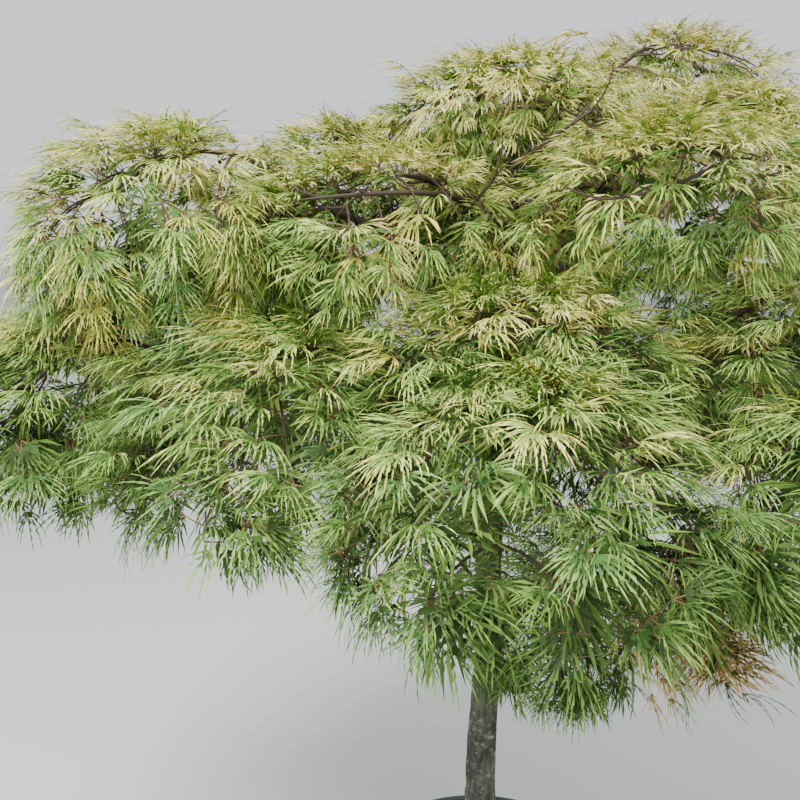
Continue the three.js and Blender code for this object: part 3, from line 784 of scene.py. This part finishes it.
def grow_sprig(mass, k):
    """One of the newest shoots, which stands up out of the top of its mass before it bends over."""
    turn = GOLDEN_ANGLE * k + spread(mass.random, 0.8)
    flat = mix(0.2, 0.85, mass.random())
    rise = sqrt(1 - flat * flat)
    way = Vector((cos(turn), sin(turn), 0))
    tip = mass.middle + way * (flat * mass.half.xy.length / 1.42)
    tip += UP * (rise * mass.half.z + 28 * mass.random())
    bud = min(mass.buds, key=lambda one: (tip - one.place).length)
    length = (tip - bud.place).length
    arc = Arc(bud.place, bud.place.lerp(tip, 0.5) + UP * (0.3 * length), tip)
    mass.shoots.append(SimpleNamespace(arc=arc, away=way, inside=False, sprig=True))


def clear_of_trunk(place):
    return place.z > TRUNK_TOP or (place - trunk_at(max(place.z, TRUNK_FOOT))).xy.length > TRUNK_CLEAR


def between(place, corners):
    return all(low < c < high for low, c, high in zip(corners[0], place, corners[1]))


def in_window(place):
    return any(between(place, corners) for corners in WINDOWS)


def in_fold(place):
    """Whether a place lies in a fold of the crown: outside all masses, with one just above and below."""
    if depth_in(crown, place) > 0:
        return False
    if depth_in(crown, place + UP * FOLD) == 0 or depth_in(crown, place - UP * FOLD) == 0:
        return False
    return depth_in(crown, place + Vector((place.x, place.y, 0)).normalized() * FOLD_OPEN) == 0


for index, mass in enumerate(crown):
    mass.random = chance_from(7919 * (index + 1))
    mass.twigs, mass.shoots = [], []
    low, high = (corner * 1000 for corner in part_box(f"foliage_{mass.name}"))
    rim = mix(low.z, high.z, RIM_LEVEL)
    mass.middle = Vector(((low.x + high.x) / 2, (low.y + high.y) / 2, rim))
    mass.half = Vector(((high.x - low.x) / 2, (high.y - low.y) / 2, high.z - rim))
    mass.hang = (rim - low.z) * (1.0 if mass.ring in HANGING else 1.5)
    tip = mass.centre + mass.out * (0.4 * mass.along) - UP * (STEM_FALL[mass.ring] * mass.deep)
    mass.stem = Arc(mass.anchor, mass.centre + UP * (0.38 * mass.deep), tip)
    for share in TWIG_SHARES:
        for hand in (-1, 1):
            grow_twig(mass, share, hand)
    mass.buds = [bud_on(mass.stem, k / 10) for k in range(1, 11)]
    mass.buds += [bud_on(twig, share) for twig in mass.twigs for share in BUD_SHARES]

for mass in crown:
    others = [other for other in crown if other is not mass]
    for count, far, inside in ((OUTER_SHOOTS[mass.ring], 0.9, False), (INNER_SHOOTS, 0.68, True)):
        for k in range(count):
            rise = 1 - ((k + 0.5) / count) ** TOP_SHARE * (1 - LOWEST)
            turn = GOLDEN_ANGLE * k + spread(mass.random, 0.25)
            flat = sqrt(1 - rise * rise)
            reach = far + 0.1 * max(0.0, rise) + spread(mass.random, 0.14 if inside else 0.06)
            tall = mass.half.z if rise > 0 else mass.hang
            target = mass.middle + reach * Vector((
                mass.half.x * flat * cos(turn), mass.half.y * flat * sin(turn), tall * rise))
            if not inside:
                further = LEDGE_REACH * (0.5 - under_ledge(target)) * flat
                target += (target - mass.middle) * Vector((1, 1, 0)) * further
            hidden = depth_in(others, target)
            if hidden > BURIED or (hidden > SHADED and mass.random() < 0.6):
                continue
            # A shoot half hidden in another mass counts as inside, so its leaves take the darker tints of
            # painted shade.
            if clear_of_trunk(target) and not in_window(target):
                grow_shoot(mass, target, inside or hidden > SHADED)
    if mass.ring not in HANGING:
        for k in range(SPRIGS):
            grow_sprig(mass, k)


def nearest_mass(place):
    return min(crown, key=lambda mass: offsets(mass, place).length)


fold_chance = chance_from(613)
for k in range(FOLD_TRIES):
    place = Vector((CROWN.x + spread(fold_chance, CROWN.wide), CROWN.y + spread(fold_chance, CROWN.deep),
                    mix(*FOLD_LEVELS, fold_chance())))
    if in_fold(place) and not in_window(place):
        grow_shoot(nearest_mass(place), place, False)
for count, low_corner, high_corner in CURTAINS:
    for k in range(count):
        place = Vector([mix(low, high, fold_chance()) for low, high in zip(low_corner, high_corner)])
        grow_shoot(nearest_mass(place), place, False)

# Shoots along the limbs count as inside: their leaves fill the crown's depth in the darker tints of painted
# shade.
for mass in crown:
    for k in range(LIMB_SHOOTS if mass.ring != "inner" else 0):
        bud = bud_on(mass.limb.arc, mix(0.5, 1.0, (k + mass.random()) / LIMB_SHOOTS))
        turn = GOLDEN_ANGLE * k + spread(mass.random, 0.5)
        reach = LIMB_SHOOT_REACH + spread(mass.random, 50)
        way = Vector((cos(turn), sin(turn), 0.1 + spread(mass.random, 0.7)))
        target = bud.place + way.normalized() * reach
        if clear_of_trunk(target):
            mass.buds = [bud]
            grow_shoot(mass, target, True)

twig_wood = Shape()


def grow_wood(arc, steps, thick, thin, sides, mark=0):
    """A twig along an arc, evenly thinner towards its end."""
    shares = [k / steps for k in range(steps + 1)]
    twig_wood.tube([arc.at(share) for share in shares], [mix(thick, thin, share) for share in shares],
                   sides, mark)


stem_of = {mass.name: mass.stem for mass in crown}
for name, share, radius, bow, end in BARE_BRANCHES:
    branch = Arc(stem_of[name].at(share), Vector(bow), Vector(end))
    grow_wood(branch, 12, radius, 2.2, 8)
    for share, hand in BARE_TWIGS:
        foot, way = branch.at(share), branch.way(share)
        tip = foot + way * 50 + way.cross(UP) * (hand * 35) + UP * mix(25, 60, fold_chance())
        grow_wood(Arc(foot, foot + way * 40 + UP * 8, tip), 5, 2.0, 0.8, 5)
for mass in crown:
    grow_wood(mass.stem, 10, LIMB_TIP_RADIUS, 1.8, 6)
    for twig in mass.twigs:
        grow_wood(twig, 5, 2.6, 1.2, 4)
    for shoot in mass.shoots:
        grow_wood(shoot.arc, 3, 1.3, 0.7, 3, mark=1)
# Thin dull brown bark on the older twigs, and a slight sheen on the new shoots.
older_twig = finish("Second-year maple twig, smooth", 0.65, "#3f3226", specular=0.3)[0]
new_shoot = finish("New maple shoot, green flushed red", 0.5, "#5d4c30", specular=0.35)[0]
twigs = piece_of("twigs", twig_wood.places, twig_wood.faces, [older_twig, new_shoot], twig_wood.marks)
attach(twigs, "root")

# Leaves
# Thin leaves, each a fan of up to nine long narrow lobes with forward teeth, on a thread of a stalk.
# They lie over each other and weep. The newest, outermost and on top, are palest, with cream ends, and the
# shaded ones are deepest. The paler tints are partly new growth and partly painted light; the darker tints
# dealt to shaded sprays are painted shade.

# A leaf's lobes: the turn in degrees, the share of the full length, and the number of teeth.
LOBES = [(-80, 0.42, 2), (-59, 0.66, 3), (-38, 0.84, 4), (-19, 0.97, 4), (0, 1.05, 5),
         (19, 0.97, 4), (38, 0.84, 4), (59, 0.66, 3), (80, 0.42, 2)]
YOUNG_LOBES = [(turn, share, max(2, teeth - 1)) for turn, share, teeth in LOBES]
SPARE_LOBES = [(1.25 * turn, share, 2) for turn, share, _ in LOBES[1:-1]]
LOBE_LENGTH = 70
STALK = 16
RIB_STEPS = 40
LEAF_SIZES = {"peak": 0.77, "top": 0.77, "middle": 0.87, "skirt": 0.98, "inner": 0.75}
YOUNG = {"peak", "top"}
INNER_LEAF = 1.2
SPRIG_LEAF = 0.68
STEEP = 0.72
# How a leaf's lobes tilt down, curl down, bend in and lean to one side.
SPREADING_LEAVES = [(-0.2, 0.7, 0.7, 0.6), (0.0, 0.5, 0.8, -0.7),
                    (-0.35, 1.05, 0.6, 1.0), (-0.1, 0.8, 0.7, -1.1)]
HANGING_LEAVES = [(-0.3, 0.6, 0.7, -0.8), (-0.1, 0.4, 0.8, 0.7),
                  (-0.45, 0.9, 0.6, 1.2), (-0.35, 0.6, 0.6, -1.2)]
# The leaves' tints: a lobe's inner half, its outer half and its end. The darker rows also serve as painted
# shade, and the paler ones partly as painted light.
TINTS = [
    ("shaded", "#34481f", "#4e692e", "#4e692e"),
    ("deep", "#415e26", "#64833a", "#6f8f40"),
    ("mid", "#57792f", "#8aa951", "#a2b65c"),
    ("fresh", "#72963e", "#b0c665", "#c4cc72"),
    ("pale", "#96a649", "#cbd06e", "#d6cb80"),
    ("newest", "#acae50", "#d3d27a", "#dccf8e"),
    ("bronzed", "#94783a", "#c9a75c", "#cfb070"),
    ("bluish", "#4c7236", "#799e53", "#90ab5c"),
    ("golden", "#8f963a", "#c0c050", "#cdbf68"),
]
TINT = {row[0]: k for k, row in enumerate(TINTS)}
# Heights above which the paler tints are dealt: high sprays are painted paler, partly as new growth and
# partly as painted light from above.
NEWEST_FROM = 1380
PALE_FROM = 1260
GOLDEN_FROM = 1330
BLUISH_UNDER = 1450
BRONZED_SPRAY = ((150, -900, 0), (420, -360, 955))
# How far behind a shoot's end a pair of leaves stands, its turn in degrees, and the shortest shoot with it.
LEAF_PAIRS = [(24, 38, 0), (60, 44, 80), (100, 50, 150)]


def rib_line(root, turn, length, pitch, curl, bend):
    """Places along a lobe's midrib, which curls down and bends in, and the way across the blade at each."""
    places, asides = [root], []
    for k in range(RIB_STEPS):
        share = (k + 0.5) / RIB_STEPS
        head = turn * (1 - bend * share)
        lean = pitch + curl * share
        flat = Vector((sin(head), cos(head), 0))
        places.append(places[-1] + (flat * cos(lean) - UP * sin(lean)) * (length / RIB_STEPS))
        asides.append(Vector((cos(head), -sin(head), 0)))
    return places, asides + asides[-1:]


def lobe(places, faces, parts, ribs, asides, teeth, width, hand):
    """One lobe: teeth that point forwards, on both sides, each springing from the one before, and a point."""
    def at(share, off, lift=0.0):
        k = min(RIB_STEPS, round(share * RIB_STEPS))
        return ribs[k] + asides[k] * off + UP * lift

    step = 1 / (teeth + 0.6)
    for k in range(teeth):
        last = k == teeth - 1
        base = max(0.0, k - 0.3) * step
        reach = width * (0.7 + 0.3 * sin(pi * (k + 1) / (teeth + 1))) * (1 - 0.4 * k / teeth)
        reach *= 0.6 if last else 1.0
        tooth = (k + (0.6 if last else 1.08)) * step
        middle = (k + (1.6 if last else 0.86)) * step
        lag = 0.0 if last else 0.42 * step
        left, right = tooth - (lag if hand else 0), tooth - (0 if hand else lag)
        first = len(places)
        places += [at(base, 0), at(left, -reach, -0.6), at(middle, 0), at(right, reach, -0.6)]
        faces += [[first + 1, first + 2, first], [first, first + 2, first + 3]]
        parts += [2 if last else int(k >= teeth / 2 - 0.5)] * 2


def leaf_shape(name, pitch, curl, bend, lop, lobes, width):
    """A leaf on its stalk, with some chance in how each lobe lies."""
    places, faces, parts = [], [], []
    stalk_end = Vector((0, STALK, 1.5))
    for place in (Vector((0, 0, 0)), stalk_end):
        places += [place + Vector((-0.7, 0, 0)), place + Vector((0.7, 0, 0))]
    faces.append([2, 3, 1, 0])
    parts.append(3)
    for turn, share, teeth in lobes:
        side = abs(turn) / 84
        lean = radians(turn + lop * 9 + spread(leaf_chance, 7))
        length = LOBE_LENGTH * share * (1 + spread(leaf_chance, 0.1))
        own_pitch = pitch + 0.1 * side + spread(leaf_chance, 0.22)
        own_curl = curl * (1 + 0.2 * side) + spread(leaf_chance, 0.25)
        own_bend = bend + spread(leaf_chance, 0.15)
        ribs, asides = rib_line(stalk_end, lean, length, own_pitch, own_curl, own_bend)
        lobe(places, faces, parts, ribs, asides, teeth, width * (0.6 + 0.4 * share), leaf_chance() < 0.5)
    return shape_of(name, places, faces, parts)


leaf_chance = chance_from(77)
leaf_shapes = bpy.data.collections.new("leaf_shapes")
leaf_first = {}
way_count = len(SPREADING_LEAVES)
all_ways = SPREADING_LEAVES + HANGING_LEAVES
# Shapes are numbered in the order of their names.
for kind, ways, lobes, width in (("a", all_ways, LOBES, 2.8),
                                 ("b_spare", (SPREADING_LEAVES[0], HANGING_LEAVES[0]), SPARE_LOBES, 4.4),
                                 ("c_young", all_ways, YOUNG_LOBES, 2.6)):
    leaf_first[kind] = len(leaf_shapes.objects)
    for k, way in enumerate(ways):
        leaf_shapes.objects.link(leaf_shape(f"leaf_{kind}_{k}", *way, lobes, width))

# Blades with a soft, low sheen. The lighter ends of the lobes show as fine tips against the shade.
stalk_red = finish("Maple leaf stalk, red-green", 0.6, "#8a6a45", specular=0.2)[0]
leaf_finishes = []
for name, inner, outer, end in TINTS:
    blade = finish(f"Laceleaf maple leaf, {name}", 0.7, inner, specular=0.2)[0]
    edge = finish(f"Laceleaf maple leaf's outer half, {name}", 0.7, outer, specular=0.2)[0]
    tip = finish(f"Laceleaf maple lobe's end, {name}", 0.75, end, specular=0.15)[0]
    leaf_finishes.append([blade, edge, tip, stalk_red])
leaf_tree = repeat_tree(leaf_finishes)


def shoot_tint(mass, shoot, normal):
    """The tint of a spray, with some chance: paler at the crown's surface and on top, partly new growth and
    partly painted light; darker inside and under the ledges, as painted shade; bronzed in one place.
    """
    place = shoot.arc.at(1)
    depth = depth_in(crown, place)
    # Painted light and shade: a spray near the crown's surface, facing up or high in it is painted paler, and
    # one deep inside is painted darker.
    score = 1.5 * max(0.0, 1 - depth / 0.3) + 0.8 * normal.z + 4.3 * (place.z - 1240) / 1000
    # Painted shade: a spray tucked up under the next ledge is painted darker, and a shoot inside the crown
    # darker still.
    score += 2.2 * (0.55 - under_ledge(place)) - (0.7 if shoot.inside else 0)
    if shoot.sprig:
        return TINT["pale"] + round(mass.random())
    if between(place, BRONZED_SPRAY) and mass.random() < 0.75:
        return TINT["bronzed"]
    odd = mass.random()
    if odd < 0.07:
        return TINT["golden" if place.z > GOLDEN_FROM else "bluish"]
    if odd < 0.14 and place.z < BLUISH_UNDER:
        return TINT["bluish"]
    palest = "fresh"
    if place.z > NEWEST_FROM or mass.random() < 0.2:
        palest = "newest"
    elif place.z > PALE_FROM or mass.random() < 0.2:
        palest = "pale"
    return max(0, min(TINT[palest], round(score + spread(mass.random, 0.8))))


def leaf_turn(ahead, face):
    """Euler angles that lay a leaf's stalk along ahead with its upper side towards face."""
    side = ahead.cross(face).normalized()
    face = side.cross(ahead)
    return Matrix((side, ahead, face)).transposed().to_euler()


def hang_leaves(mass):
    """Leaves in a cluster at the end of each shoot of a mass, and in pairs behind it."""
    points = []
    for shoot in mass.shoots:
        arc = shoot.arc
        normal, _ = slope_at(mass, arc.at(1), shoot.away)
        tint = shoot_tint(mass, shoot, normal)
        length = arc.length()
        pairs = LEAF_PAIRS[:1] if shoot.inside else [pair for pair in LEAF_PAIRS if length > pair[2]]
        spots = [(0, 0)] + [(back, hand * turn) for back, turn, _ in pairs for hand in (-1, 1)]
        for back, turn in spots:
            share = 1 - back / length
            place = arc.at(share)
            normal, downhill = slope_at(mass, place, shoot.away)
            ahead = (downhill + arc.way(share) * 0.8).normalized()
            lean = radians(turn + spread(mass.random, 16))
            aside = normal.cross(ahead).normalized()
            ahead = ahead * cos(lean) - aside * sin(lean) + normal * (0.16 + spread(mass.random, 0.2))
            ahead = (ahead + downhill * 0.35).normalized()
            face = (normal + aside * spread(mass.random, 0.35)).normalized()
            size = 0.95 + spread(mass.random, 0.2)
            size *= SPRIG_LEAF if shoot.sprig else LEAF_SIZES[mass.ring] * (INNER_LEAF if shoot.inside else 1)
            hanging = normal.z <= STEEP
            if shoot.inside:
                shape = leaf_first["b_spare"] + hanging
            else:
                shape = leaf_first["c_young" if shoot.sprig or mass.ring in YOUNG else "a"]
                shape += way_count * hanging + int(way_count * mass.random())
            own = tint + (mass.random() < 0.24) - (mass.random() < 0.3)
            points.append(SimpleNamespace(
                place=place, turn=leaf_turn(ahead, face), size=(size, size, size), shape=shape,
                finish=tint if tint > TINT["newest"] else max(0, min(TINT["newest"], own))))
    return points


LEAVES_PER_PIECE = 2700
TIERS = {"upper": ["peak", "top"], "middle": ["middle"], "skirt": ["skirt", "inner"]}
for tier, rings in TIERS.items():
    hung = [(mass, hang_leaves(mass)) for mass in crown if mass.ring in rings]
    total = sum(len(points) for _, points in hung)
    pieces = ceil(total / LEAVES_PER_PIECE)
    groups = [[] for _ in range(pieces)]
    count = 0
    for mass, points in hung:
        groups[int((count + len(points) / 2) * pieces / total)].append((mass, points))
        count += len(points)
    for k, members in enumerate(groups):
        points = [point for _, own in members for point in own]
        leaves = repeat(f"leaves_{tier}_{k + 1}", points, leaf_shapes, leaf_tree)
        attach(leaves, "root")
        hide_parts(*[f"foliage_{mass.name}" for mass, _ in members])

# Floor and light
# A plain pale floor of matt paint that runs out of sight, under an even sky. One large soft light comes from
# above on the left, and a weaker one fills in from the right.

FLOOR_REACH = 90000
LIGHTS = [("key", (-1.8, -2.2, 4.6), 2.6, 460), ("fill", (3.2, -1.6, 2.8), 2.4, 90)]
LIGHT_AIM = Vector((0, 0.1, 1.2))

floor_places = [(FLOOR_REACH * x, FLOOR_REACH * y, 0) for x, y in ((-1, -1), (1, -1), (1, 1), (-1, 1))]
floor = piece_of("floor", floor_places, [[0, 1, 2, 3]], [finish("Pale painted floor", 0.9, "#cfcfca")[0]])
world = bpy.data.worlds.new("sky")
world.use_nodes = True
sky = world.node_tree.nodes["Background"]
sky.inputs["Color"].default_value = linear("#dfe5ea")
sky.inputs["Strength"].default_value = 1.35
bpy.context.scene.world = world
for name, place, size, power in LIGHTS:
    lamp = bpy.data.lights.new(name, "AREA")
    lamp.shape = "DISK"
    lamp.size = size
    lamp.energy = power
    light = put_in_scene(name, lamp)
    light.location = place
    light.rotation_euler = (LIGHT_AIM - Vector(place)).to_track_quat("-Z", "Y").to_euler()

# Camera
# At a standing person's eye, close in front of the crown and looking slightly down, as in the photograph.
# The crown runs out of the picture on both sides.

lens = bpy.data.cameras.new("camera")
lens.sensor_width = 36
lens.lens = 45
camera = put_in_scene("camera", lens)
camera.location = (-0.16, -1.8, 1.5)
camera.rotation_euler = (radians(90 - 8.5), 0, 0)
bpy.context.scene.camera = camera
